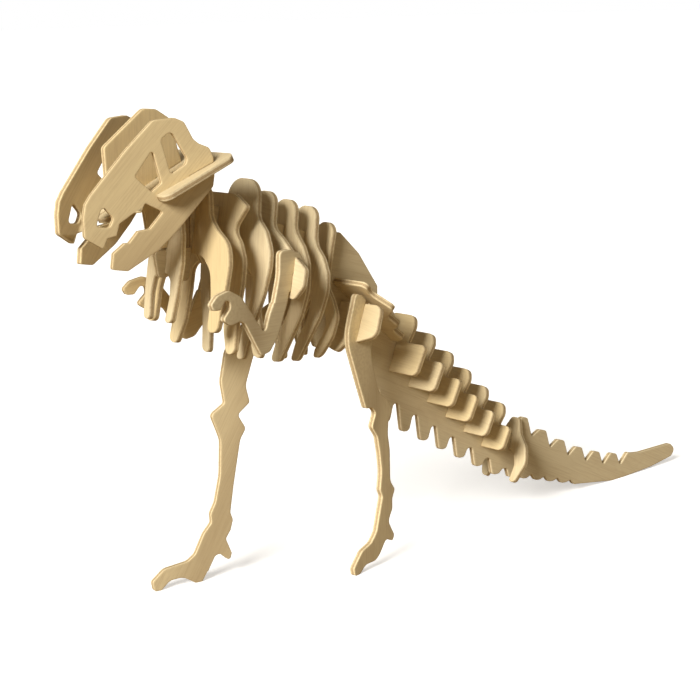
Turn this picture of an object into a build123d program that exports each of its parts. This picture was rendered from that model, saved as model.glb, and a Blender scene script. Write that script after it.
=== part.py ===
"""Slot-together plywood dinosaur skeleton: every piece is one flat plate of the same plywood.

The frame has +Z up, the tail towards +X, the head towards -X, and the floor at Z = 0.
The pieces are drawn in the body's own directions, from the hip point. The body leans back
a little, so that the model stands on its two feet and the underside of its tail.
Lengthwise plates are drawn on planes that run along the body, crosswise plates on planes
square to the body that lean back. Two plates that cross each carry half of the slot.
Outlines are lists of corners: (across, up, corner radius).
"""
import os
from math import cos, hypot, radians, sin, sqrt, tan

from build123d import *

# ---------------------------------------------------------------- driving sizes, millimetres
ply = 3.0               # thickness of the plywood sheet
slot_gap = 0.05         # clearance on each side of a plate in its slot
seat_gap = 0.02         # clearance at the closed end of each slot

hip_height = 109.0      # hip point above the floor
hip_x = -49.9           # hip point along the frame, so that the frame stands at mid length
body_tilt = 2.1         # the body leans back onto its tail, degrees

rib_lean = 10.0         # ribs lean back from the body's upright, degrees
rib_pitch = 12.8        # spacing of the ribs along the back
last_rib_x = -15.8      # last rib, just ahead of the hips
neck_gap = 12.8         # neck rib ahead of the first rib
back_height = 80.0      # top edge of the spine plate at the first rib
back_fall = 0.29        # fall of that edge towards the tail, per millimetre
rib_seat = 10.0         # how far a rib sinks into the spine plate
spine_depth = 20.0      # spine plate from its top edge to the valleys between its prongs
prong_depth = 28.0      # spine plate from its top edge to the tips of its prongs

cheek_splay = 11.0      # cheeks open towards the back, degrees from the centre plane
cheek_offset = 18.5     # cheek from the centre plane at cheek_x
cheek_ahead = 27.4      # that place, ahead of the first rib
palate_pitch = 25.7     # palate rises towards the back, degrees
palate_ahead = 17.4     # middle of the palate, ahead of the first rib
palate_rise = 13.0      # and above the back

arm_offset = 26.5       # arm from the centre plane at arm_x
arm_ahead = 5.8         # that place, ahead of the shoulder plate
arm_splay = 8.0         # hands point outwards, degrees
side_gap = 0.3          # least clearance of a rib inside an arm or a leg
shoulder_reach = 35.8   # half width of the shoulder plate

hip_lean = 23.0         # hip plate and tail vertebrae lean back, degrees
hip_plate_x = -7.0
hip_plate_z = 23.0
hip_reach = 33.0        # half width of the hip plate
leg_offset = 18.5       # leg from the centre plane at leg_x
leg_x = -10.0
leg_splay = 10.0        # toes point outwards, degrees

sacral_pitch = 40.0     # sacral plate falls towards the tail, degrees
sacral_x = -10.0
sacral_z = 35.0

vertebra_count = 6
vertebra_pitch = 13.5   # spacing of the tail vertebrae along the body
first_vertebra_x = 32.4
first_vertebra_z = 0.9  # top edge of the tail plate at the first vertebra
tail_fall = 0.775       # fall of the tail plate's top edge, per millimetre
vertebra_seat = 7.0     # how far a vertebra sinks onto the tail plate
chevron_x = 116.7       # pointed plate behind the last vertebra
chevron_z = -68.0

rib_count = 7           # stations along the back; the fourth holds the shoulder plate
first_rib_x = last_rib_x - (rib_count - 1) * rib_pitch
slot_width = ply + 2 * slot_gap
through = 6 * ply       # reach of a slot cutter across the plate that it cuts


# ---------------------------------------------------------------- planes and levels
body = Plane(origin=(hip_x, 0, hip_height),
             x_dir=(cos(radians(body_tilt)), 0, -sin(radians(body_tilt))),
             z_dir=(sin(radians(body_tilt)), 0, cos(radians(body_tilt))))


def point(x, y, z):
    """A point given in the body's directions from the hip point."""
    return body.from_local_coords(Vector(x, y, z))


def direction(x, y, z):
    """A direction given in the body's directions."""
    return point(x, y, z) - body.origin


def lengthwise(x, y, z, turn):
    """Plane along the body, turned about its upright; drawn as (along, up)."""
    along = (cos(radians(turn)), sin(radians(turn)))
    return Plane(origin=point(x, y, z), x_dir=direction(along[0], along[1], 0),
                 z_dir=direction(along[1], -along[0], 0))


def crosswise(x, z, lean):
    """Plane square to the body that leans back; drawn as (to the right, up)."""
    return Plane(origin=point(x, 0, z), x_dir=direction(0, 1, 0),
                 z_dir=direction(cos(radians(lean)), 0, -sin(radians(lean))))


def sloping(x, z, rise):
    """Plane level across the body that rises towards the tail; drawn as (to the right, along)."""
    return Plane(origin=point(x, 0, z), x_dir=direction(0, 1, 0),
                 z_dir=direction(sin(radians(rise)), 0, -cos(radians(rise))))


def height(z):
    """Level of the body at a height from the hip point."""
    return Plane(origin=point(0, 0, z), z_dir=direction(0, 0, 1))


def station(x):
    """Cross-section of the body at a distance from the hip point."""
    return Plane(origin=point(x, 0, 0), z_dir=direction(1, 0, 0))


def floor_below(x):
    """Height of the floor under a station, in the body's directions."""
    return (x * sin(radians(body_tilt)) - hip_height) / cos(radians(body_tilt))


# ---------------------------------------------------------------- outlines and slots
def fitting_radius(before, here, after):
    """The corner's own radius, or the largest that its two runs leave room for."""
    run_in = (here[0] - before[0], here[1] - before[1])
    run_out = (after[0] - here[0], after[1] - here[1])
    longest = hypot(*run_in) * hypot(*run_out)
    cosine = (run_in[0] * run_out[0] + run_in[1] * run_out[1]) / longest
    half_turn = sqrt(max(0, 1 - cosine) / (1 + cosine))
    room = 0.49 * min(hypot(*run_in), hypot(*run_out))
    return here[2] if half_turn * here[2] < room else room / half_turn


def plate_face(plane, corners):
    """Closed outline with rounded corners, as a face on the plane."""
    count = len(corners)
    radii = [fitting_radius(corners[i - 1], corners[i], corners[(i + 1) % count]) for i in range(count)]
    with BuildSketch(plane) as face:
        with BuildLine():
            FilletPolyline([(across, up) for across, up, radius in corners], radius=radii, close=True)
        make_face()
    return face.sketch


def both_sides(half):
    """The right half of an outline, from top to bottom, and its mirror image."""
    return half + [(-across, up, radius) for across, up, radius in reversed(half)]


def plate(plane, corners):
    """Plywood plate with the outline, half its thickness each side of the plane."""
    extrude(plate_face(plane, corners), amount=ply / 2, both=True)


def window(plane, corners):
    """Opening through a plate."""
    extrude(plate_face(plane, corners), amount=ply, both=True, mode=Mode.SUBTRACT)


def meeting_point(plane_a, plane_b, level):
    """The point that three planes share."""
    planes = (plane_a, plane_b, level)
    total = Vector(0, 0, 0)
    for i in range(3):
        others = planes[i - 2].z_dir.cross(planes[i - 1].z_dir)
        total += others * planes[i].origin.dot(planes[i].z_dir)
    return total / plane_a.z_dir.dot(plane_b.z_dir.cross(level.z_dir))


def slot(own, other, level, way, depth):
    """Slot in the plate on plane own, as wide as the plate on plane other.

    It is closed at the level and open in the sense way along the level's normal.
    """
    line = own.z_dir.cross(other.z_dir).normalized()
    if line.dot(level.z_dir) * way < 0:
        line = line * -1
    closed_end = meeting_point(own, other, level) - line * seat_gap
    frame = Plane(origin=closed_end + line * (depth / 2), x_dir=line, z_dir=other.z_dir)
    with Locations(frame):
        Box(depth, through, slot_width, mode=Mode.SUBTRACT)


def save(piece, name):
    """Label a finished piece and write it to its own file."""
    piece.part.label = name
    export_step(piece.part, f"parts/{name}.step")
    box = piece.part.bounding_box()
    print(f"{name}: solids {len(piece.part.solids())}, volume {piece.part.volume:.0f},"
          f" x {box.min.X:.1f} {box.max.X:.1f}, z {box.min.Z:.1f} {box.max.Z:.1f}")


# ---------------------------------------------------------------- shared places
def back_line(x):
    """Height of the spine plate's top edge."""
    return back_height - back_fall * (x - first_rib_x)


def tail_line(x):
    """Height of the tail plate's top edge."""
    return first_vertebra_z - tail_fall * (x - first_vertebra_x)


centre = lengthwise(0, 0, 0, 0)
rib_x = [first_rib_x + rib_pitch * k for k in range(rib_count)]
rib_planes = [crosswise(x, back_line(x), rib_lean) for x in rib_x]
neck_x = first_rib_x - neck_gap
neck_plane = crosswise(neck_x, back_line(neck_x), rib_lean)
sides = (("left", -1), ("right", 1))
cheek_x = first_rib_x - cheek_ahead
palate_x = first_rib_x - palate_ahead
palate_z = back_height + palate_rise
shoulder_plane = rib_planes[3]
shoulder_z = back_line(rib_x[3])
arm_x = rib_x[3] - arm_ahead
skull_plane = lengthwise(first_rib_x, 0, back_height, 0)
cheek_planes = {side: lengthwise(cheek_x, way * cheek_offset, back_height, way * cheek_splay)
                for side, way in sides}
arm_planes = {side: lengthwise(arm_x, way * arm_offset, shoulder_z, -way * arm_splay)
              for side, way in sides}
leg_planes = {side: lengthwise(leg_x, way * leg_offset, 0, -way * leg_splay) for side, way in sides}
palate_plane = sloping(palate_x, palate_z, palate_pitch)
hip_plane = crosswise(hip_plate_x, hip_plate_z, hip_lean)
sacral_plane = sloping(sacral_x, sacral_z, -sacral_pitch)
vertebra_x = [first_vertebra_x + vertebra_pitch * k for k in range(vertebra_count)]
vertebra_planes = [crosswise(x, tail_line(x), hip_lean) for x in vertebra_x]
chevron_plane = crosswise(chevron_x, chevron_z, hip_lean)

skull_seat = back_height - 8            # level where the skull core meets the neck rib
neck_top = back_height - 21             # top of the spine plate's neck, under the skull core
neck_seat = back_height - 25.5          # level where the neck rib meets the spine plate
cheek_stop = palate_x - 2               # station where the cheeks meet the palate
skull_stop = palate_x - 6               # station where the skull core meets the palate
last_rib_floor = 46.0   # top edge of the spine plate at the last rib, ahead of the hip fin
last_rib_seat = 39.0
arm_seat = shoulder_z - 22.9
hip_seat = 19.0         # level where the spine plate meets the hip plate
leg_seat = 15.0         # level where the legs meet the hip plate
spine_stop = 0.7        # station where the spine plate meets the sacral plate
tail_stop = 23.5        # station where the tail plate meets the sacral plate
chevron_floor = -60.0   # top edge of the tail plate at the chevron
chevron_seat = -64.0

os.makedirs("parts", exist_ok=True)


# ---------------------------------------------------------------- spine plate
def spine_outline():
    """Neck, back, hip fin and the comb of prongs below."""
    nape = first_rib_x - 5
    top = [(nape - 20.5, neck_top, 2.5), (nape, neck_top, 1), (nape, back_line(nape), 3),
           (-21, back_line(-21), 2), (-20.6, last_rib_floor, 1.5), (-12.8, last_rib_floor + 0.4, 1.5),
           (-13.2, 57, 2), (-8.5, 60.5, 2.5), (4.6, 48.5, 9), (17.2, 31, 2)]
    rear = [(17.2, 12.2, 0.2), (10, 18.2, 0.2), (10, 9, 2.5), (0, 8, 8), (-13, 11.5, 3.5), (-18, 26, 4)]
    prongs = []
    for k in range(6, 0, -1):
        valley_x = rib_x[k] - 4
        valley_z = (last_rib_seat if k == 6 else back_line(rib_x[k]) - rib_seat) - 0.5 * spine_depth
        tip_x = rib_x[k] - rib_pitch / 2 - 2.5
        tip_z = back_line(tip_x) - prong_depth
        prongs += [(valley_x + 2.2, valley_z, 2), (valley_x - 1.6, valley_z, 2),
                   (tip_x + 2.2, tip_z, 2.4), (tip_x - 2.4, tip_z, 2.4)]
    neck = [(nape + 2.6, neck_top - 1, 2), (nape - 0.4, neck_top - 2, 2), (nape - 1.9, neck_top - 15, 2.4),
            (nape - 6.1, neck_top - 15, 2.4), (nape - 8, neck_top - 9.5, 1), (nape - 11.6, neck_top - 9.5, 1),
            (nape - 13.4, neck_top - 12.5, 2.4), (nape - 18.2, neck_top - 12.5, 2.4)]
    return top + rear + prongs + neck


with BuildPart() as spine_plate:
    plate(centre, spine_outline())
    slot(centre, neck_plane, height(neck_seat), 1, 10)
    for rib_plane, x in zip(rib_planes[:6], rib_x):
        slot(centre, rib_plane, height(back_line(x) - rib_seat), 1, rib_seat + 4)
    slot(centre, rib_planes[6], height(last_rib_seat), 1, 9)
    slot(centre, hip_plane, height(hip_seat), -1, 16)
    slot(centre, sacral_plane, station(spine_stop), 1, 26)
save(spine_plate, "spine_plate")


# ---------------------------------------------------------------- head
cheek_outline = [
    (-41.1, 2.8, 1.5), (-38.5, 6.7, 2), (-22.4, 24.9, 20), (-9.1, 37.9, 5), (1, 38.8, 3),
    (5.5, 37, 3), (9.8, 29.4, 3), (12.4, 27.4, 1.5), (17.5, 25.5, 2.5), (19.4, 21.3, 2.5),
    (19.9, 13, 2), (19.2, 8.3, 2), (2, -10, 25), (-7.8, -18.6, 10), (-22.2, -26.8, 2.5),
    (-29.6, -25.7, 1), (-28.8, -18.8, 0.8), (-23.4, -14.6, 0.8), (-21.3, -14.6, 0.8), (-17.1, -9.7, 0.8),
    (-11.4, -9, 1.5), (-4.9, -1.8, 1), (-13.6, 2.4, 0.8), (-15.6, -1.8, 0.8), (-18.9, -1.7, 0.8),
    (-25.7, -6, 0.8), (-27.1, -11.1, 0.8), (-31.4, -12, 0.8), (-33.4, -16.5, 0.8), (-41.8, -11.4, 2),
    (-42.1, -2.9, 2)]
nostril = [(-33.4, 2.2, 1.4), (-36.6, -7, 1.6), (-30.1, -7.6, 2), (-28.1, -3.5, 2)]
cheek_window = [(-9.6, 25.6, 1.2), (-18.3, 14, 1.2), (-10.4, 7, 1.2), (-5.4, 10.6, 1.2)]
eye = [(-0.7, 33.4, 2.5), (-5.7, 29.6, 2), (-1.2, 14.2, 1.2), (8, 19.4, 3)]

for side, cheek_plane in cheek_planes.items():
    with BuildPart() as cheek:
        plate(cheek_plane, cheek_outline)
        for opening in (nostril, cheek_window, eye):
            window(cheek_plane, opening)
        slot(cheek_plane, palate_plane, station(cheek_stop), 1, 20)
    save(cheek, f"cheek_{side}")

skull_outline = [
    (-50.9, 26, 2.5), (-29.9, 42.4, 5), (-23.4, 42, 5), (-15.4, 37.5, 5), (-12.4, 26, 4),
    (-9, 16, 2), (-9, -17, 2), (-10.4, -20, 2), (-24.4, -20, 3), (-28.4, -14, 4), (-30.4, -2, 4),
    (-45.4, 3, 4), (-49.9, 12, 4)]
with BuildPart() as skull_core:
    plate(skull_plane, skull_outline)
    slot(skull_plane, palate_plane, station(skull_stop), 1, 24)
    slot(skull_plane, neck_plane, height(skull_seat), -1, 16)
save(skull_core, "skull_core")

palate_half = [(29.5, 19.5, 4.5), (25.8, -20, 4.5), (14.2, -20, 1), (8, -42, 4)]
with BuildPart() as palate:
    plate(palate_plane, both_sides(palate_half))
    slot(palate_plane, centre, station(skull_stop), -1, 40)
    for cheek_plane in cheek_planes.values():
        slot(palate_plane, cheek_plane, station(cheek_stop), -1, 22)
save(palate, "palate")

# ---------------------------------------------------------------- ribs and shoulder plate
arch = -0.5 * rib_seat - 19     # top of the opening between a rib's two legs
neck_half = [
    (6.5, 3, 6), (7, -8, 8), (10.5, -18, 10), (12.5, -30, 20), (12, -44, 20), (10.5, -57.5, 2.6),
    (6, -58, 2), (7.5, -46, 12), (6.5, -38.5, 3), (3.2, -36, 1)]
with BuildPart() as neck_rib:
    plate(neck_plane, both_sides(neck_half))
    slot(neck_plane, centre, height(skull_seat), 1, 18)
    slot(neck_plane, centre, height(neck_seat), -1, 10)
save(neck_rib, "neck_rib")

inside_arm = arm_offset + (arm_x - rib_x[2]) * tan(radians(arm_splay)) - ply / 2 - side_gap
inside_leg = leg_offset - ply / 2 - side_gap
rib_halves = {
    "rib_1": [(8, 8, 7.8), (12, -7, 9), (18, -12, 9), (27.5, -17.5, 12), (30.3, -27, 16), (29.6, -40, 30),
              (27.5, -57.5, 3.5), (20.5, -58.5, 3), (20.2, -42, 20), (17.5, -31, 10), (11, -25, 6)],
    "rib_2": [(11, 6.8, 6), (20.8, 1.6, 1.6), (13, -9.5, 6), (18.8, -15, 9), (23.4, -23, 12),
              (24, -34, 20), (23.2, -44, 25), (25, -65, 3), (19.5, -66.5, 3), (15, -54, 18),
              (14.3, -40, 16), (14.6, -29, 6), (9, -25, 5)],
    "rib_3": [(10, 16.4, 9.6), (12.4, -1, 8), (20, -7, 9), (inside_arm - 0.4, -16, 12), (inside_arm, -24, 14),
              (24, -35, 24), (18.5, -52, 28), (15.8, -66.5, 3), (10.5, -67.5, 3), (13, -50, 24),
              (16.4, -37, 16), (15.3, -28, 7), (9, -24.5, 5)],
    "rib_5": [(7, 12.6, 6.8), (8.2, -1.5, 9), (16.2, -8.8, 9), (21, -16, 12), (23.2, -28, 20),
              (20.6, -42, 24), (10, -64, 3.5), (3.6, -65.5, 2.6), (6.5, -53, 20), (12.6, -38, 20),
              (13.2, -29.5, 7), (8, -24.8, 5)],
    "rib_6": [(6.8, 12.4, 6.6), (8.8, -5, 9), (16.2, -11.5, 9), (20.6, -18.5, 10), (22, -26.5, 18),
              (inside_leg + 2.4, -39, 20), (7.4, -62, 3.6), (2.6, -63, 2), (4.8, -53, 16), (11.4, -40, 16),
              (11.8, -31, 7), (7.5, -25.5, 5)],
    "rib_7": [(6.4, 7.4, 6.2), (5.8, -5, 14), (6, -23, 8), (11.5, -29, 8), (inside_leg, -37, 9),
              (15, -47, 18), (8, -57.5, 10), (3.6, -59.5, 2), (4, -55, 2), (8.6, -47, 10),
              (9.6, -40, 6)]}
for name, half in rib_halves.items():
    number = int(name[-1]) - 1
    rib_plane = rib_planes[number]
    is_last = number == 6
    seat = last_rib_seat if is_last else back_line(rib_x[number]) - rib_seat
    arch_end = [(4.5, -31, 3), (3, -29, 1)] if is_last else [(3.2, arch, 1)]
    with BuildPart() as rib:
        plate(rib_plane, both_sides(half + arch_end))
        slot(rib_plane, centre, height(seat), -1, 20)
    save(rib, name)

shoulder_half = [
    (7, 13.6, 6.8), (8.4, -3, 6), (17, -8, 7), (26, -14.5, 8), (shoulder_reach, -20.5, 3),
    (shoulder_reach, -28.5, 4), (30.5, -35, 3), (21.5, -34, 4), (15.5, -27, 6), (3.2, arch, 1)]
with BuildPart() as shoulder_plate:
    plate(shoulder_plane, both_sides(shoulder_half))
    slot(shoulder_plane, centre, height(back_line(rib_x[3]) - rib_seat), -1, 16)
    for arm_plane in arm_planes.values():
        slot(shoulder_plane, arm_plane, height(arm_seat), 1, 16)
save(shoulder_plate, "shoulder_plate")

# ---------------------------------------------------------------- arms
arm_outline = [
    (-8.4, -11.6, 2.5), (-2.2, -11.1, 2.5), (5.5, -13.7, 3), (7.6, -18.9, 2.5), (7, -30.4, 2),
    (-2.6, -30.7, 0.8), (-3.8, -35.9, 6), (-10.2, -50.5, 8), (-15.6, -56.9, 4), (-21, -58.1, 2),
    (-31.5, -42.1, 5), (-34.5, -40.5, 3), (-40.7, -41.9, 3), (-45.6, -38.9, 1.5), (-40.8, -34.1, 2),
    (-41.2, -30.7, 1.8), (-44.3, -30.3, 1.8), (-47.3, -34.1, 1.8), (-51.2, -34.1, 1.5), (-53, -31.3, 1.5),
    (-49.2, -27.7, 4), (-41.9, -25.9, 5), (-34.1, -29.6, 5), (-18.8, -48.5, 1.8), (-15.4, -39.6, 10),
    (-13, -35.1, 0.4), (-12.2, -34.7, 0.4), (-8.8, -22.9, 20)]
for side, arm_plane in arm_planes.items():
    with BuildPart() as arm:
        plate(arm_plane, arm_outline)
        slot(arm_plane, shoulder_plane, height(arm_seat), -1, 14)
    save(arm, f"arm_{side}")

# ---------------------------------------------------------------- hips
hip_half = [
    (5, 2.6, 1), (hip_reach - 2.5, 3.2, 4.5), (hip_reach, -12, 5), (22, -16, 2), (13, -18.5, 4),
    (9, -23, 3.5), (2.6, -21.5, 1.5), (4, -15, 3), (3.4, -10.6, 3)]
with BuildPart() as hip_plate:
    plate(hip_plane, both_sides(hip_half))
    slot(hip_plane, centre, height(hip_seat), 1, 12)
    for leg_plane in leg_planes.values():
        slot(hip_plane, leg_plane, height(leg_seat), -1, 14)
save(hip_plate, "hip_plate")

sacral_half = [
    (5.5, 50, 2.5), (12.5, 46.5, 3), (10.5, 39, 2.5), (19.5, 33, 3), (18, 25.5, 2.5),
    (29.5, 17, 3.5), (22.3, 5.5, 6), (25.3, -2.5, 2.5)]
with BuildPart() as sacral_plate:
    plate(sacral_plane, both_sides(sacral_half))
    slot(sacral_plane, centre, station(spine_stop), -1, 24)
    slot(sacral_plane, centre, station(tail_stop), 1, 14)
save(sacral_plate, "sacral_plate")


# ---------------------------------------------------------------- legs
def sole(along, side_way, rise, radius):
    """Corner of a foot at a height above the floor."""
    return (along, floor_below(leg_x + along * cos(radians(leg_splay))) + rise, radius)


leg_top = [(-4.5, 32, 2), (0, 30.5, 2), (7.3, 25, 3)]
leg_outlines = {
    "left": leg_top + [
        (8.5, 12, 6), (7.3, 0.6, 8), (9.6, -8.3, 20), (13.7, -19.5, 10), (20.5, -24, 4),
        (24.4, -30.4, 2.5), (21.6, -34.5, 3), (21.1, -42, 10), (22.8, -50.2, 20), (23.3, -66.4, 6),
        (27.2, -71.5, 1.8), (25, -76, 3), (25.2, -81.3, 4), (21.8, -87.2, 4), (26.9, -95.3, 1.5),
        (25.6, -98.4, 1.2), (20.1, -95.9, 3), (15.2, -102.6, 6), (11.5, -105.4, 5), (3.2, -105.8, 5),
        sole(-1.2, -1, 0, 2), sole(-5.2, -1, 0, 1.6), (-6, -105.5, 2), (0.6, -98.2, 6),
        (8, -95.6, 5), (12.3, -90.9, 6), (15.3, -79.8, 12), (17.1, -73.4, 3), (15.2, -69.8, 3),
        (16.4, -60.4, 20), (14.9, -50.8, 20), (12.8, -41.8, 6), (8.2, -36.2, 2.5), (11.4, -29.4, 2),
        (8.4, -26.4, 2), (3.4, -26, 1.5), (-2.1, -13.1, 30), (-11.8, 10.4, 20)],
    "right": leg_top + [
        (9, 12, 4), (-1, 8, 8), (-18, 12.5, 10), (-27, 9, 8), (-33.2, 0, 14), (-38.1, -15.3, 8),
        (-35.8, -24, 1.8), (-42.6, -29.6, 2), (-38.2, -36.9, 2.5), (-41.4, -42.3, 8),
        (-45.2, -63.7, 30), (-47.4, -78.6, 4), (-46, -82.6, 2.5), (-47.3, -87.6, 3), (-50.1, -91.8, 2),
        (-46.8, -99.6, 1.5), (-48, -103.6, 1.5), (-54.8, -97.6, 3), (-60.5, -107, 3),
        sole(-63.4, 1, 0, 1.2), sole(-67, 1, 0, 1.5), (-74, -107.8, 8), (-81, -108.4, 5),
        sole(-85.6, 1, 0, 1.5), sole(-89.4, 1, 0, 1.6), (-90.3, -107.8, 1.6), (-83.8, -102.3, 6),
        (-71, -100.4, 6), (-67, -97.5, 5), (-62, -87.5, 6), (-57.8, -82.6, 2), (-58.2, -78, 3),
        (-55.4, -72.5, 8), (-52.5, -59, 30), (-52, -41.4, 10), (-57.2, -28.3, 2.5), (-49.6, -23.3, 2),
        (-51.5, -12.4, 12), (-48.6, 3.2, 12), (-38, 16, 14), (-22, 25, 20)]}
for side, leg_plane in leg_planes.items():
    with BuildPart() as leg:
        plate(leg_plane, leg_outlines[side])
        slot(leg_plane, hip_plane, height(leg_seat), 1, 30)
    save(leg, f"leg_{side}")


# ---------------------------------------------------------------- tail
def tail_outline():
    """Fingers around the sacral plate, saw teeth above and below, and a plain tip."""
    front = [(11, 0, 4), (12.3, 16.3, 0.2), (20, 9.8, 0.2), (20, 13, 1.5), (23.5, 18, 3),
             (28.5, 17.5, 2.5), (29.8, 6, 2), (30.2, tail_line(30.2), 0.5), (108, tail_line(108), 2),
             (110.5, chevron_floor, 2), (122, chevron_floor - 0.8, 2)]
    teeth = []
    for k in range(7):
        x = 128 + 15.5 * k
        z = -52 - 10.3 * k + 0.75 * k * k
        teeth += [(x - 2.4, z, 2.2), (x + 2.4, z - 1.2, 2.2)]
        if k < 6:
            teeth += [(x + 6.2, z - 4.8 - 8 + 0.75 * k, 1.4)]
    tip = [(230, -88.6, 12), (258.5, -87.6, 2.5), (263, -91.5, 3), (260, -95.6, 4), (240, -99.2, 30),
           (216, floor_below(216), 20), (204, floor_below(204), 20)]
    lower = []
    for k in range(5, -1, -1):
        x = 118 + 11 * k
        z = -84.8 - 2.7 * k
        lower += [(x + 1.6, z - 0.2, 1.6), (x - 1.6, z, 1.6)]
        if k > 0:
            lower += [(x - 5.2, z + 1.3 + 3.4 - 0.3 * k, 1.2)]
    prongs = []
    for k in range(6, -1, -1):
        x = 23.7 + 13.65 * k
        z = -40.2 - 6.85 * k
        valley = z + 8.9 - 1.13 * k
        prongs += [(x + 8.8, valley, 2), (x + 4.9, valley, 2), (x + 2.4, z, 2.4), (x - 2.6, z, 2.4)]
    return front + teeth + tip + lower + prongs + [(19, -21.6, 2), (15, -21.6, 2), (12.8, -28, 1.9), (9, -28, 1.9)]


with BuildPart() as tail_plate:
    plate(centre, tail_outline())
    slot(centre, sacral_plane, station(tail_stop), -1, 20)
    for vertebra_plane, x in zip(vertebra_planes, vertebra_x):
        slot(centre, vertebra_plane, height(tail_line(x) - vertebra_seat), 1, vertebra_seat + 3)
    slot(centre, chevron_plane, height(chevron_seat), 1, 7)
save(tail_plate, "tail_plate")

for k, vertebra_plane in enumerate(vertebra_planes):
    reach = 21.8 - 0.85 * k
    rise = 14.3 - 0.5 * k
    drop = 16.2 - 0.5 * k
    half = [(7.8, rise, 7), (10, rise - 5.5, 6), (8.4, 0, 1), (reach, 0, 2.5), (reach - 0.8, -drop, 3.5)]
    with BuildPart() as vertebra:
        plate(vertebra_plane, both_sides(half))
        slot(vertebra_plane, centre, height(tail_line(vertebra_x[k]) - vertebra_seat), -1, 16)
    save(vertebra, f"tail_vertebra_{k + 1}")

chevron_half = [
    (2.6, 17, 2.4), (6.4, 8.5, 5), (13, 2, 8), (16.2, -6.5, 8), (12, -18, 2.5), (8.2, -18.5, 2),
    (9, -9, 5), (6.5, -3.5, 4), (3, -1.2, 1)]
with BuildPart() as tail_chevron:
    plate(chevron_plane, both_sides(chevron_half))
    slot(chevron_plane, centre, height(chevron_seat), -1, 9)
save(tail_chevron, "tail_chevron")
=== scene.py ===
"""Slot-together wooden dinosaur skeleton: the finish of its plywood plates, with floor, light and camera.

Laid out as an add-on. Each operator finishes one group of plates, the panel lists them in order,
and the script runs them all. Lengths are in metres.
"""
from math import cos, pi, radians, sin

import bmesh
import bpy
import numpy as np
from bpy.props import FloatProperty, FloatVectorProperty, IntProperty, PointerProperty
from mathutils import Matrix, Vector
from mathutils.bvhtree import BVHTree


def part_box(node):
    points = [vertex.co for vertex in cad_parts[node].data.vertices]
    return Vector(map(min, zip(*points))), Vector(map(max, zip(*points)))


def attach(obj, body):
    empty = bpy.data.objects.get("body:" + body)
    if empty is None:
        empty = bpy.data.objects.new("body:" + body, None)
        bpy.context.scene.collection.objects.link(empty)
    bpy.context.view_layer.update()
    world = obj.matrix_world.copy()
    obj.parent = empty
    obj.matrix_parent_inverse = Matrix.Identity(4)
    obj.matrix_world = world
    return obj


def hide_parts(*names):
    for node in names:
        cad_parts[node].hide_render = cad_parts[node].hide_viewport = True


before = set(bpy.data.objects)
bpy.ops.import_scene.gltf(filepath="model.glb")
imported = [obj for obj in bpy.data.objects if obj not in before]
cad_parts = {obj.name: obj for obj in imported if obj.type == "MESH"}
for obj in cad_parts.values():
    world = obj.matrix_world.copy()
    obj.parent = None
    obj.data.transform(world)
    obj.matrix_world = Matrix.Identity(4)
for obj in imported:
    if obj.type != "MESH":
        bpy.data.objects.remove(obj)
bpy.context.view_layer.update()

bl_info = {
    "name": "Wooden dinosaur puzzle",
    "version": (1, 0, 0),
    "blender": (4, 5, 0),
    "location": "View3D > Sidebar > Dinosaur",
    "description": "Finishes the plywood plates of a slot-together dinosaur skeleton",
    "category": "Object",
}

SHEET_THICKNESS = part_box("spine_plate")[1].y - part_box("spine_plate")[0].y
MICRON = 1e-6
PLATE_STEP = 17.3                   # how far the grain noise moves on from plate to plate
BUMP_DEPTH = 0.00012                # height of the grain's relief, in metres
SHEET_SIDE = 0.4                    # plates are cut from anywhere on a sheet this wide, in metres
NUB_SHARE = 0.72                    # height of a nub, as a share of the sheet's thickness
WARMTH_SPREAD = 0.16                # most that a plate's veneer turns towards yellow
FLAT_ANGLE = radians(0.4)           # faces that differ by less are one flat face
SHARP_ANGLE = radians(50)           # edges that turn by more stay sharp
PLATE_GROUPS = {
    "head": ("skull_core", "palate", "cheek_left", "cheek_right", "neck_rib"),
    "back": ("spine_plate", "sacral_plate"),
    "ribs": ("rib_1", "rib_2", "rib_3", "rib_5", "rib_6", "rib_7"),
    "arms": ("shoulder_plate", "arm_left", "arm_right"),
    "legs": ("hip_plate", "leg_left", "leg_right"),
    "tail": ("tail_plate", "tail_chevron") + tuple(f"tail_vertebra_{k}" for k in range(1, 7)),
}


# ---------------------------------------------------------------- settings
class PlywoodSettings(bpy.types.PropertyGroup):
    """The sheet that the plates are stamped from."""
    veneer: FloatVectorProperty(name="Veneer", description="Colour of the pale face veneer",
                                subtype="COLOR", min=0, max=1, default=(0.82, 0.69, 0.425))
    streak: FloatVectorProperty(name="Streaks", description="Colour of the darker grain streaks",
                                subtype="COLOR", min=0, max=1, default=(0.56, 0.42, 0.235))
    core: FloatVectorProperty(name="Core", description="Colour of the middle ply's end grain",
                              subtype="COLOR", min=0, max=1, default=(0.40, 0.27, 0.135))
    # colour of the glue lines, and of the darker border and rolled-corner line painted along every cut edge
    edge_dark: FloatVectorProperty(name="Edge dark", description="Colour of the stamped edge's rub marks",
                                 subtype="COLOR", min=0, max=1, default=(0.27, 0.165, 0.075))
    edge_round: FloatProperty(name="Edge round", description="Softened corner of a stamped edge",
                              unit="LENGTH", precision=5, default=0.00026)
    # width of the darker border painted beside each cut edge
    border: FloatProperty(name="Border", description="Width of the darkened border beside an edge",
                          unit="LENGTH", precision=5, default=0.0006)
    tone_spread: FloatProperty(name="Tone spread", description="Difference in tone between plates",
                               subtype="FACTOR", default=0.05)
    grain_turn: FloatProperty(name="Grain turn", description="How far a plate's grain turns from its length",
                              subtype="ANGLE", default=radians(14))
    seed: IntProperty(name="Seed", description="Choice of tone and grain for each plate", default=7)


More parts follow.
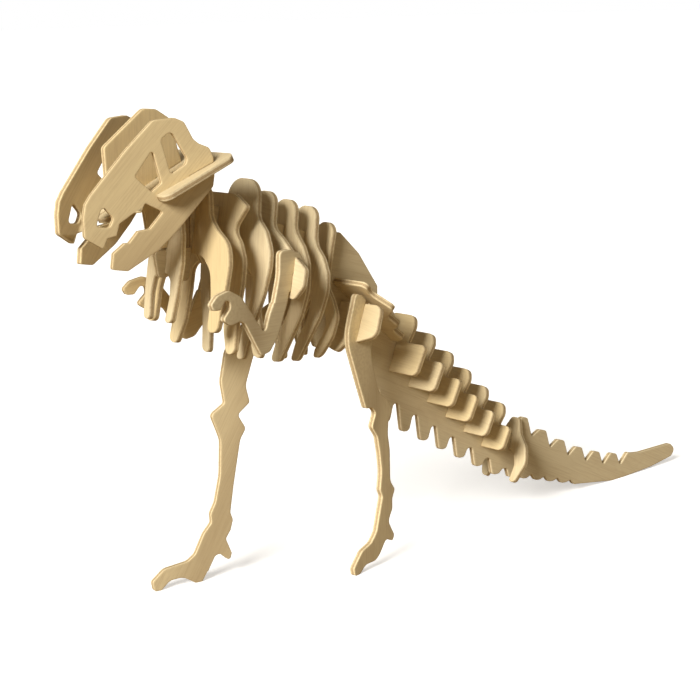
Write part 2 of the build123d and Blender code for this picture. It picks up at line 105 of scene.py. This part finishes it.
class NubSettings(bpy.types.PropertyGroup):
    """The small nubs left where a plate was snapped out of its sheet."""
    spacing: FloatProperty(name="Spacing", description="Least distance between two nubs",
                           unit="LENGTH", precision=4, default=0.022)
    density: FloatProperty(name="Density", description="Nubs to each square metre of cut edge", default=9000)
    radius: FloatProperty(name="Radius", description="Radius of a nub", unit="LENGTH", precision=5,
                          default=0.00042)
    clear: FloatProperty(name="Clear of slots", description="Distance that nubs keep from other plates",
                         unit="LENGTH", precision=4, default=0.003)


class StageSettings(bpy.types.PropertyGroup):
    """Floor, light and camera."""
    floor: FloatVectorProperty(name="Floor", description="Colour of the floor", subtype="COLOR",
                               min=0, max=1, default=(0.93, 0.93, 0.925))
    bounce: FloatVectorProperty(name="Bounce", description="Colour of the light that the floor throws back",
                                subtype="COLOR", min=0, max=1, default=(0.36, 0.27, 0.16))
    glow: FloatProperty(name="Floor glow", default=0.46,
                        description="Even white added to the floor, which lightens its shadows")
    floor_size: FloatProperty(name="Floor size", description="Side of the floor", unit="LENGTH", default=60)
    key: FloatProperty(name="Key light", description="Strength of the main light", default=4.5)
    key_width: FloatProperty(name="Key width", description="Width of the main light in the sky, which softens "
                             "its shadows", subtype="ANGLE", default=radians(24))
    fill: FloatProperty(name="Fill light", description="Power of the weaker light", unit="POWER", default=0.1)
    sky: FloatProperty(name="Sky", description="Strength of the even light from all round", default=0.23)
    sky_colour: FloatVectorProperty(name="Sky colour", description="Colour of that light", subtype="COLOR",
                                    min=0, max=1, default=(1.0, 0.88, 0.70))
    backdrop: FloatProperty(name="Backdrop", description="Brightness of the surroundings themselves",
                            default=1.0)
    aim: FloatVectorProperty(name="Aim", description="Point that the camera looks at", subtype="XYZ",
                             unit="LENGTH", default=(-0.0499, 0, 0.109))
    turn: FloatProperty(name="Turn", description="Direction of view, from square to the length",
                        subtype="ANGLE", default=radians(41.5))
    drop: FloatProperty(name="Drop", description="How far the view looks down", subtype="ANGLE",
                        default=radians(10))
    lean: FloatProperty(name="Lean", description="The view leans back with the body", subtype="ANGLE",
                        default=radians(2.1))
    distance: FloatProperty(name="Distance", description="Camera to aim", unit="LENGTH", default=0.85)
    lens: FloatProperty(name="Lens", description="Focal length in millimetres", default=87.43)


# ---------------------------------------------------------------- node helpers
def add(tree, kind, inputs=None, **settings):
    """Node with its settings and inputs; an input is a value or another node's socket."""
    made = tree.nodes.new(kind)
    for name, value in settings.items():
        setattr(made, name, value)
    for name, value in (inputs or {}).items():
        if isinstance(value, bpy.types.NodeSocket):
            tree.links.new(value, made.inputs[name])
        else:
            made.inputs[name].default_value = value
    return made


def maths(tree, operation, first, second=0.0, clamp=False):
    """Result of one sum on two values."""
    return add(tree, "ShaderNodeMath", {0: first, 1: second}, operation=operation, use_clamp=clamp).outputs[0]


def span(tree, value, low, high, to_low=0.0, to_high=1.0):
    """Smooth step of a value from one range to another."""
    return add(tree, "ShaderNodeMapRange", {"Value": value, "From Min": low, "From Max": high,
                                            "To Min": to_low, "To Max": to_high},
               interpolation_type="SMOOTHSTEP").outputs[0]


def mixed(tree, factor, first, second, blend_type="MIX"):
    """Mix of two colours."""
    return add(tree, "ShaderNodeMix", {0: factor, 6: first, 7: second},
               data_type="RGBA", blend_type=blend_type).outputs[2]


def noise(tree, place, stretch, detail=3.0, distortion=0.0):
    """Noise on a place in millimetres, stretched by frequencies along, across and between plates."""
    scaled = add(tree, "ShaderNodeVectorMath", {0: place, 1: stretch}, operation="MULTIPLY").outputs[0]
    return add(tree, "ShaderNodeTexNoise", {"Vector": scaled, "Scale": 1.0, "Detail": detail,
                                            "Distortion": distortion}).outputs["Fac"]


def opaque(colour):
    """Colour with full alpha."""
    return (*colour, 1.0)


# ---------------------------------------------------------------- plywood material
def plywood_group(look):
    """Shared node group: face grain, stacked plies on the cut edge, and a darker border along that edge."""
    group = bpy.data.node_groups.new("Plywood", "ShaderNodeTree")
    sockets = (("Veneer", "NodeSocketColor", opaque(look.veneer)),
               ("Streaks", "NodeSocketColor", opaque(look.streak)),
               ("Core", "NodeSocketColor", opaque(look.core)),
               ("Edge dark", "NodeSocketColor", opaque(look.edge_dark)),
               ("Tone", "NodeSocketFloat", 1.0), ("Plate", "NodeSocketFloat", 0.0))
    for name, kind, default in sockets:
        group.interface.new_socket(name, in_out="INPUT", socket_type=kind).default_value = default
    for name, kind in (("Color", "NodeSocketColor"), ("Roughness", "NodeSocketFloat"),
                       ("Height", "NodeSocketFloat")):
        group.interface.new_socket(name, in_out="OUTPUT", socket_type=kind)
    given = group.nodes.new("NodeGroupInput").outputs
    sheet = add(group, "ShaderNodeUVMap", uv_map="sheet").outputs["UV"]
    layer = add(group, "ShaderNodeCombineXYZ", {"Z": given["Plate"]}).outputs[0]
    millimetres = add(group, "ShaderNodeVectorMath", {0: sheet, 1: (1000, 1000, 0)},
                      operation="MULTIPLY").outputs[0]
    place = add(group, "ShaderNodeVectorMath", {0: millimetres, 1: layer}, operation="ADD").outputs[0]
    depth = add(group, "ShaderNodeAttribute", attribute_name="ply_depth").outputs["Fac"]
    rim = add(group, "ShaderNodeAttribute", attribute_name="rim").outputs["Fac"]
    solid = add(group, "ShaderNodeTexCoord").outputs["Object"]
    solid_mm = add(group, "ShaderNodeVectorMath", {0: solid, 1: (1000, 1000, 1000)},
                   operation="MULTIPLY").outputs[0]

    # face veneer: long fine streaks, broad bands, faint growth lines and short dark flecks
    streaks = noise(group, place, (0.035, 1.5, 1), detail=5, distortion=0.2)
    bands = noise(group, place, (0.012, 0.14, 1), detail=2, distortion=0.8)
    swirl = noise(group, place, (0.02, 0.09, 1), detail=1)
    lines = maths(group, "SINE", maths(group, "MULTIPLY", swirl, 75.0))
    flecks = span(group, noise(group, place, (0.35, 4.5, 1), detail=1), 0.66, 0.78)
    grain = maths(group, "ADD", span(group, streaks, 0.42, 0.72, 0.0, 0.30),
                  span(group, bands, 0.45, 0.75, 0.0, 0.26))
    grain = maths(group, "ADD", grain, maths(group, "MULTIPLY", maths(group, "MAXIMUM", lines, 0.0), 0.085))
    grain = maths(group, "ADD", grain, maths(group, "MULTIPLY", flecks, 0.22), clamp=True)
    face = mixed(group, grain, given["Veneer"], given["Streaks"])

    # cut edge: pale outer plies, a darker end-grain core and two thin glue lines
    level = maths(group, "ABSOLUTE", depth)
    pores = noise(group, solid_mm, (3.2, 3.2, 3.2), detail=3)
    fibres = noise(group, solid_mm, (0.7, 0.7, 0.7), detail=2)
    core_mask = span(group, level, 0.40, 0.30)
    outer = mixed(group, span(group, fibres, 0.35, 0.7, 0.05, 0.40), given["Veneer"], given["Streaks"])
    end_grain = mixed(group, span(group, pores, 0.40, 0.66, 0.0, 0.85), given["Streaks"], given["Core"])
    edge = mixed(group, core_mask, outer, end_grain)
    glue = maths(group, "ABSOLUTE", maths(group, "SUBTRACT", level, 0.36))
    glue = span(group, glue, 0.06, 0.01, 0.0, 0.55)
    edge = mixed(group, glue, edge, given["Edge dark"])
    on_edge = span(group, level, 0.965, 0.90)
    colour = mixed(group, on_edge, face, edge)

    # darker border beside each stamped edge, flecked by the fibre noise, and a darker line along its rolled
    # corner
    corner = maths(group, "MULTIPLY", span(group, level, 0.80, 0.93),
                   span(group, level, 1.0, 0.96, 0.45, 1.0))
    darkening = maths(group, "MULTIPLY", rim, span(group, fibres, 0.30, 0.70, 0.06, 0.34))
    darkening = maths(group, "MAXIMUM", darkening, maths(group, "MULTIPLY", corner, 0.5), clamp=True)
    darkening = maths(group, "MULTIPLY", darkening, maths(group, "SUBTRACT", 1.0, maths(group, "MULTIPLY", on_edge, 0.6)))
    colour = mixed(group, darkening, colour, given["Edge dark"])
    toned = mixed(group, 1.0, colour, add(group, "ShaderNodeCombineColor", {
        0: given["Tone"], 1: given["Tone"], 2: given["Tone"]}).outputs[0], "MULTIPLY")

    rough = maths(group, "ADD", span(group, streaks, 0.3, 0.8, 0.50, 0.64),
                  maths(group, "MULTIPLY", on_edge, 0.22))
    relief = maths(group, "ADD", maths(group, "MULTIPLY", streaks, 0.6), maths(group, "MULTIPLY", flecks, -0.5))
    pits = maths(group, "MULTIPLY", maths(group, "MULTIPLY", pores, on_edge), 1.8)
    relief = maths(group, "ADD", relief, pits)
    relief = maths(group, "SUBTRACT", relief, maths(group, "MULTIPLY", glue, on_edge))
    add(group, "NodeGroupOutput", {"Color": toned, "Roughness": rough, "Height": relief})
    return group


def plywood(name, tone, warmth, plate_number):
    """Plywood of one plate, cut from its own place on the sheet."""
    look = bpy.context.scene.plywood
    group = bpy.data.node_groups.get("Plywood") or plywood_group(look)
    material = bpy.data.materials.new(f"plywood_{name}")
    material.use_nodes = True
    tree = material.node_tree
    tree.nodes.clear()
    veneer = (look.veneer[0], look.veneer[1] * (1 - 0.3 * warmth), look.veneer[2] * (1 - warmth))
    sheet = add(tree, "ShaderNodeGroup", node_tree=group)
    for socket, value in (("Veneer", opaque(veneer)), ("Streaks", opaque(look.streak)),
                          ("Core", opaque(look.core)), ("Edge dark", opaque(look.edge_dark)),
                          ("Tone", tone), ("Plate", plate_number * PLATE_STEP)):
        sheet.inputs[socket].default_value = value
    bump = add(tree, "ShaderNodeBump", {"Height": sheet.outputs["Height"], "Strength": 0.55,
                                        "Distance": BUMP_DEPTH})
    surface = add(tree, "ShaderNodeBsdfPrincipled", {
        "Base Color": sheet.outputs["Color"], "Roughness": sheet.outputs["Roughness"],
        "Normal": bump.outputs["Normal"], "Specular IOR Level": 0.35})
    add(tree, "ShaderNodeOutputMaterial", {"Surface": surface.outputs["BSDF"]})
    return material


# ---------------------------------------------------------------- plates
def plate_axes(shape):
    """A plate's normal, middle and long direction."""
    spread = np.zeros((3, 3))
    for face in shape.faces:
        spread += face.calc_area() * np.outer(face.normal, face.normal)
    normal = Vector(np.linalg.eigh(spread)[1][:, 2])
    corners = np.array([vertex.co for vertex in shape.verts])
    middle = Vector((corners.min(0) + corners.max(0)) / 2)
    flat = corners - corners.mean(0)
    flat -= np.outer(flat @ np.array(normal), normal)
    return normal, middle, Vector(np.linalg.eigh(flat.T @ flat)[1][:, 2])


def soften(shape, normal, look):
    """Round the stamped corners, and lay a narrow border round both faces; returns the inner faces."""
    stamped = [edge for edge in shape.edges if len(edge.link_faces) == 2
               and sum(abs(face.normal.dot(normal)) > 0.9 for face in edge.link_faces) == 1]
    bmesh.ops.bevel(shape, geom=stamped, offset=look.edge_round, offset_type="OFFSET", segments=2,
                    profile=0.5, affect="EDGES", clamp_overlap=False)
    shape.normal_update()
    flats = [face for face in shape.faces if abs(face.normal.dot(normal)) > 0.999]
    flats = bmesh.ops.triangulate(shape, faces=flats)["faces"]
    bmesh.ops.inset_region(shape, faces=flats, thickness=look.border, use_boundary=True, use_even_offset=True)
    return flats


def mark(shape, flats, normal, middle, grain, others, offset):
    """Write the plate's own coordinates: place on the sheet, depth in the plies, border and free edges."""
    depth = shape.verts.layers.float.new("ply_depth")
    rim = shape.verts.layers.float.new("rim")
    free = shape.verts.layers.float.new("free_edge")
    sheet = shape.loops.layers.uv.new("sheet")
    inner = {vertex for face in flats for vertex in face.verts}
    clear = bpy.context.scene.nubs.clear
    for vertex in shape.verts:
        vertex[depth] = (vertex.co - middle).dot(normal) / (SHEET_THICKNESS / 2)
        vertex[rim] = 0.0 if vertex in inner else 1.0
        vertex[free] = 0.0 if any(other.find_nearest(vertex.co, clear)[0] for other in others) else 1.0
    across = normal.cross(grain)
    for face in shape.faces:
        for loop in face.loops:
            away = loop.vert.co - middle
            loop[sheet].uv = (away.dot(grain) + offset[0], away.dot(across) + offset[1])


def nub_tree():
    """Geometry Nodes: small round nubs across the cut edge, away from the slots."""
    tree = bpy.data.node_groups.new("Snap-off nubs", "GeometryNodeTree")
    for name, kind in (("Plate", "NodeSocketGeometry"), ("Plate Normal", "NodeSocketVector"),
                       ("Spacing", "NodeSocketFloat"), ("Density", "NodeSocketFloat"),
                       ("Radius", "NodeSocketFloat"), ("Height", "NodeSocketFloat"),
                       ("Seed", "NodeSocketInt"), ("Wood", "NodeSocketMaterial")):
        tree.interface.new_socket(name, in_out="INPUT", socket_type=kind)
    tree.interface.new_socket("Plate", in_out="OUTPUT", socket_type="NodeSocketGeometry")
    given = tree.nodes.new("NodeGroupInput").outputs
    outward = tree.nodes.new("GeometryNodeInputNormal").outputs[0]
    facing = add(tree, "ShaderNodeVectorMath", {0: outward, 1: given["Plate Normal"]},
                 operation="DOT_PRODUCT").outputs["Value"]
    on_wall = maths(tree, "LESS_THAN", maths(tree, "ABSOLUTE", facing), 0.05)
    free = add(tree, "GeometryNodeInputNamedAttribute", {"Name": "free_edge"}, data_type="FLOAT").outputs[0]
    chosen = maths(tree, "MULTIPLY", on_wall, maths(tree, "GREATER_THAN", free, 0.99))
    points = add(tree, "GeometryNodeDistributePointsOnFaces", {
        "Mesh": given["Plate"], "Selection": chosen, "Distance Min": given["Spacing"],
        "Density Max": given["Density"], "Seed": given["Seed"]}, distribute_method="POISSON")
    depth = add(tree, "GeometryNodeInputNamedAttribute", {"Name": "ply_depth"}, data_type="FLOAT").outputs[0]
    back = maths(tree, "MULTIPLY", depth, -SHEET_THICKNESS / 2)
    shift = add(tree, "ShaderNodeVectorMath", {0: given["Plate Normal"], "Scale": back},
                operation="SCALE").outputs[0]
    centred = add(tree, "GeometryNodeSetPosition", {"Geometry": points.outputs["Points"], "Offset": shift})
    turned = add(tree, "FunctionNodeAlignRotationToVector", {"Vector": given["Plate Normal"]}, axis="Z")
    nub = add(tree, "GeometryNodeMeshCylinder", {"Vertices": 10, "Radius": given["Radius"],
                                                 "Depth": given["Height"]})
    size = add(tree, "FunctionNodeRandomValue", {2: 0.55, 3: 1.0, "Seed": given["Seed"]}, data_type="FLOAT")
    nubs = add(tree, "GeometryNodeInstanceOnPoints", {
        "Points": centred.outputs[0], "Instance": nub.outputs["Mesh"], "Rotation": turned.outputs[0],
        "Scale": size.outputs[1]})
    real = add(tree, "GeometryNodeRealizeInstances", {"Geometry": nubs.outputs[0]})
    joined = tree.nodes.new("GeometryNodeJoinGeometry")
    tree.links.new(given["Plate"], joined.inputs[0])
    tree.links.new(real.outputs[0], joined.inputs[0])
    wooden = add(tree, "GeometryNodeSetMaterial", {"Geometry": joined.outputs[0], "Material": given["Wood"]})
    add(tree, "NodeGroupOutput", {"Plate": wooden.outputs[0]})
    return tree


def with_nubs(piece, normal, wood, number):
    """Run the nub tree on a plate and keep the result as its plain mesh."""
    nubs = bpy.context.scene.nubs
    tree = bpy.data.node_groups.get("Snap-off nubs") or nub_tree()
    modifier = piece.modifiers.new("nubs", "NODES")
    modifier.node_group = tree
    values = {"Plate Normal": normal, "Spacing": nubs.spacing, "Density": nubs.density, "Radius": nubs.radius,
              "Height": SHEET_THICKNESS * NUB_SHARE, "Seed": number, "Wood": wood}
    for socket in tree.interface.items_tree:
        if socket.in_out == "INPUT" and socket.name in values:
            modifier[socket.identifier] = values[socket.name]
    bpy.context.view_layer.update()
    finished = bpy.data.meshes.new_from_object(piece.evaluated_get(bpy.context.evaluated_depsgraph_get()))
    piece.modifiers.remove(modifier)
    rough = piece.data
    piece.data = finished
    bpy.data.meshes.remove(rough)


def neighbours_of(node):
    """Search trees of the plates whose boxes come near this one."""
    low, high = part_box(node)
    reach = bpy.context.scene.nubs.clear
    near = []
    for name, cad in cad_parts.items():
        other_low, other_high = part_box(name)
        if name != node and all(other_low[i] - reach < high[i] and low[i] - reach < other_high[i]
                                for i in range(3)):
            near.append(BVHTree.FromPolygons([vertex.co for vertex in cad.data.vertices],
                                             [tuple(face.vertices) for face in cad.data.polygons]))
    return near


def finish_plate(node, number):
    """Softened, grained and finished copy of one plate."""
    look = bpy.context.scene.plywood
    luck = np.random.default_rng(look.seed * 100 + number)
    tone = 1 + look.tone_spread * luck.uniform(-1, 1)
    warmth = WARMTH_SPREAD * luck.uniform(-0.5, 1)
    shape = bmesh.new()
    shape.from_mesh(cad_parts[node].data)
    bmesh.ops.remove_doubles(shape, verts=shape.verts, dist=MICRON)
    normal, middle, length = plate_axes(shape)
    bmesh.ops.dissolve_limit(shape, angle_limit=FLAT_ANGLE, verts=shape.verts, edges=shape.edges)
    flats = soften(shape, normal, look)
    grain = Matrix.Rotation(look.grain_turn * luck.uniform(-1, 1), 3, normal) @ length
    mark(shape, flats, normal, middle, grain, neighbours_of(node), luck.uniform(0, SHEET_SIDE, 2))
    bmesh.ops.triangulate(shape, faces=[face for face in shape.faces if len(face.verts) > 4])
    mesh = bpy.data.meshes.new(f"{node}_wood")
    shape.to_mesh(mesh)
    shape.free()
    wood = plywood(node, tone, warmth, number)
    mesh.materials.append(wood)
    piece = bpy.data.objects.new(f"{node}_wood", mesh)
    bpy.context.scene.collection.objects.link(piece)
    with_nubs(piece, normal, wood, number)
    piece.data.shade_smooth()
    piece.data.set_sharp_from_angle(angle=SHARP_ANGLE)
    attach(piece, node)
    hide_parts(node)


def finish_group(group):
    """Finish every plate of a group."""
    order = [node for nodes in PLATE_GROUPS.values() for node in nodes]
    for node in PLATE_GROUPS[group]:
        finish_plate(node, order.index(node) + 1)
    return {"FINISHED"}


# ---------------------------------------------------------------- operators
class DINOSAUR_OT_head(bpy.types.Operator):
    """Finish the skull core, the palate, both cheeks and the neck rib"""
    bl_idname = "dinosaur.head"
    bl_label = "Head plates"

    def execute(self, context):
        return finish_group("head")


class DINOSAUR_OT_back(bpy.types.Operator):
    """Finish the spine plate and the stepped sacral plate"""
    bl_idname = "dinosaur.back"
    bl_label = "Back plates"

    def execute(self, context):
        return finish_group("back")


class DINOSAUR_OT_ribs(bpy.types.Operator):
    """Finish the ribs"""
    bl_idname = "dinosaur.ribs"
    bl_label = "Ribs"

    def execute(self, context):
        return finish_group("ribs")


class DINOSAUR_OT_arms(bpy.types.Operator):
    """Finish the shoulder plate and the arms that hook over it"""
    bl_idname = "dinosaur.arms"
    bl_label = "Shoulders and arms"

    def execute(self, context):
        return finish_group("arms")


class DINOSAUR_OT_legs(bpy.types.Operator):
    """Finish the hip plate and the legs"""
    bl_idname = "dinosaur.legs"
    bl_label = "Hips and legs"

    def execute(self, context):
        return finish_group("legs")


class DINOSAUR_OT_tail(bpy.types.Operator):
    """Finish the saw-toothed tail, its vertebrae and the pointed chevron"""
    bl_idname = "dinosaur.tail"
    bl_label = "Tail plates"

    def execute(self, context):
        return finish_group("tail")


class DINOSAUR_OT_stage(bpy.types.Operator):
    """Make the pale floor, the lights and the white surroundings"""
    bl_idname = "dinosaur.stage"
    bl_label = "Floor and light"

    def execute(self, context):
        stage = context.scene.stage
        half = stage.floor_size / 2
        mesh = bpy.data.meshes.new("floor")
        corners = [(-half, -half, 0), (half, -half, 0), (half, half, 0), (-half, half, 0)]
        mesh.from_pydata(corners, [], [(0, 1, 2, 3)])
        paint = bpy.data.materials.new("floor_paint")
        paint.use_nodes = True
        coat = paint.node_tree
        surface = coat.nodes["Principled BSDF"]
        seen = add(coat, "ShaderNodeLightPath").outputs["Is Camera Ray"]
        colour = mixed(coat, seen, opaque(stage.bounce), opaque(stage.floor))
        coat.links.new(colour, surface.inputs["Base Color"])
        coat.links.new(maths(coat, "MULTIPLY", seen, stage.glow), surface.inputs["Emission Strength"])
        surface.inputs["Emission Color"].default_value = (1, 1, 1, 1)
        surface.inputs["Roughness"].default_value = 0.85
        surface.inputs["Specular IOR Level"].default_value = 0.15
        mesh.materials.append(paint)
        floor = bpy.data.objects.new("floor", mesh)
        context.scene.collection.objects.link(floor)

        target = Vector(stage.aim)
        key = bpy.data.lights.new("key", "SUN")
        key.energy, key.angle, key.color = stage.key, stage.key_width, (1.0, 0.985, 0.95)
        fill = bpy.data.lights.new("fill", "AREA")
        fill.shape, fill.size, fill.energy = "DISK", 0.9, stage.fill
        for lamp, place in ((key, (-0.95, -0.32, 0.55)), (fill, (0.55, -1.2, 0.35))):
            holder = bpy.data.objects.new(lamp.name, lamp)
            holder.location = target + Vector(place)
            holder.rotation_euler = (-Vector(place)).to_track_quat("-Z", "Y").to_euler()
            context.scene.collection.objects.link(holder)

        world = bpy.data.worlds.new("surroundings")
        world.use_nodes = True
        tree = world.node_tree
        tree.nodes.clear()
        seen = add(tree, "ShaderNodeLightPath").outputs["Is Camera Ray"]
        strength = add(tree, "ShaderNodeMix", {0: seen, 2: stage.sky, 3: stage.backdrop}).outputs[0]
        tint = mixed(tree, seen, opaque(stage.sky_colour), (1, 1, 1, 1))
        even = add(tree, "ShaderNodeBackground", {"Color": tint, "Strength": strength})
        add(tree, "ShaderNodeOutputWorld", {"Surface": even.outputs[0]})
        context.scene.world = world
        context.scene.view_settings.view_transform = "Standard"
        return {"FINISHED"}


class DINOSAUR_OT_camera(bpy.types.Operator):
    """Set the camera, which looks from the head's left and leans back with the body"""
    bl_idname = "dinosaur.camera"
    bl_label = "Camera"

    def execute(self, context):
        stage = context.scene.stage
        ahead = Vector((sin(stage.turn) * cos(stage.drop), cos(stage.turn) * cos(stage.drop), -sin(stage.drop)))
        right = Vector((cos(stage.turn), -sin(stage.turn), 0))
        axes = Matrix((right, right.cross(ahead), -ahead)).transposed()
        lean = Matrix.Rotation(stage.lean, 3, "Y")
        lens = bpy.data.cameras.new("camera")
        lens.lens, lens.sensor_width, lens.clip_start, lens.clip_end = stage.lens, 36, 0.01, 100
        camera = bpy.data.objects.new("camera", lens)
        camera.matrix_world = Matrix.Translation(Vector(stage.aim) - lean @ ahead * stage.distance) @ (
            lean @ axes).to_4x4()
        context.scene.collection.objects.link(camera)
        context.scene.camera = camera
        return {"FINISHED"}


class DINOSAUR_PT_panel(bpy.types.Panel):
    """Lists the steps in order"""
    bl_label = "Wooden dinosaur"
    bl_space_type = "VIEW_3D"
    bl_region_type = "UI"
    bl_category = "Dinosaur"

    def draw(self, context):
        for settings in (context.scene.plywood, context.scene.nubs, context.scene.stage):
            box = self.layout.box()
            for name in settings.__annotations__:
                box.prop(settings, name)
        for step in STEPS:
            self.layout.operator(step.bl_idname)


STEPS = (DINOSAUR_OT_stage, DINOSAUR_OT_camera, DINOSAUR_OT_head, DINOSAUR_OT_back, DINOSAUR_OT_ribs,
         DINOSAUR_OT_arms, DINOSAUR_OT_legs, DINOSAUR_OT_tail)
CLASSES = (PlywoodSettings, NubSettings, StageSettings, *STEPS, DINOSAUR_PT_panel)


def register():
    for item in CLASSES:
        bpy.utils.register_class(item)
    bpy.types.Scene.plywood = PointerProperty(type=PlywoodSettings)
    bpy.types.Scene.nubs = PointerProperty(type=NubSettings)
    bpy.types.Scene.stage = PointerProperty(type=StageSettings)


def unregister():
    del bpy.types.Scene.plywood, bpy.types.Scene.nubs, bpy.types.Scene.stage
    for item in reversed(CLASSES):
        bpy.utils.unregister_class(item)


def main():
    """Run every step in order."""
    register()
    bpy.ops.dinosaur.stage()
    bpy.ops.dinosaur.camera()
    bpy.ops.dinosaur.head()
    bpy.ops.dinosaur.back()
    bpy.ops.dinosaur.ribs()
    bpy.ops.dinosaur.arms()
    bpy.ops.dinosaur.legs()
    bpy.ops.dinosaur.tail()


if __name__ == "__main__":
    main()
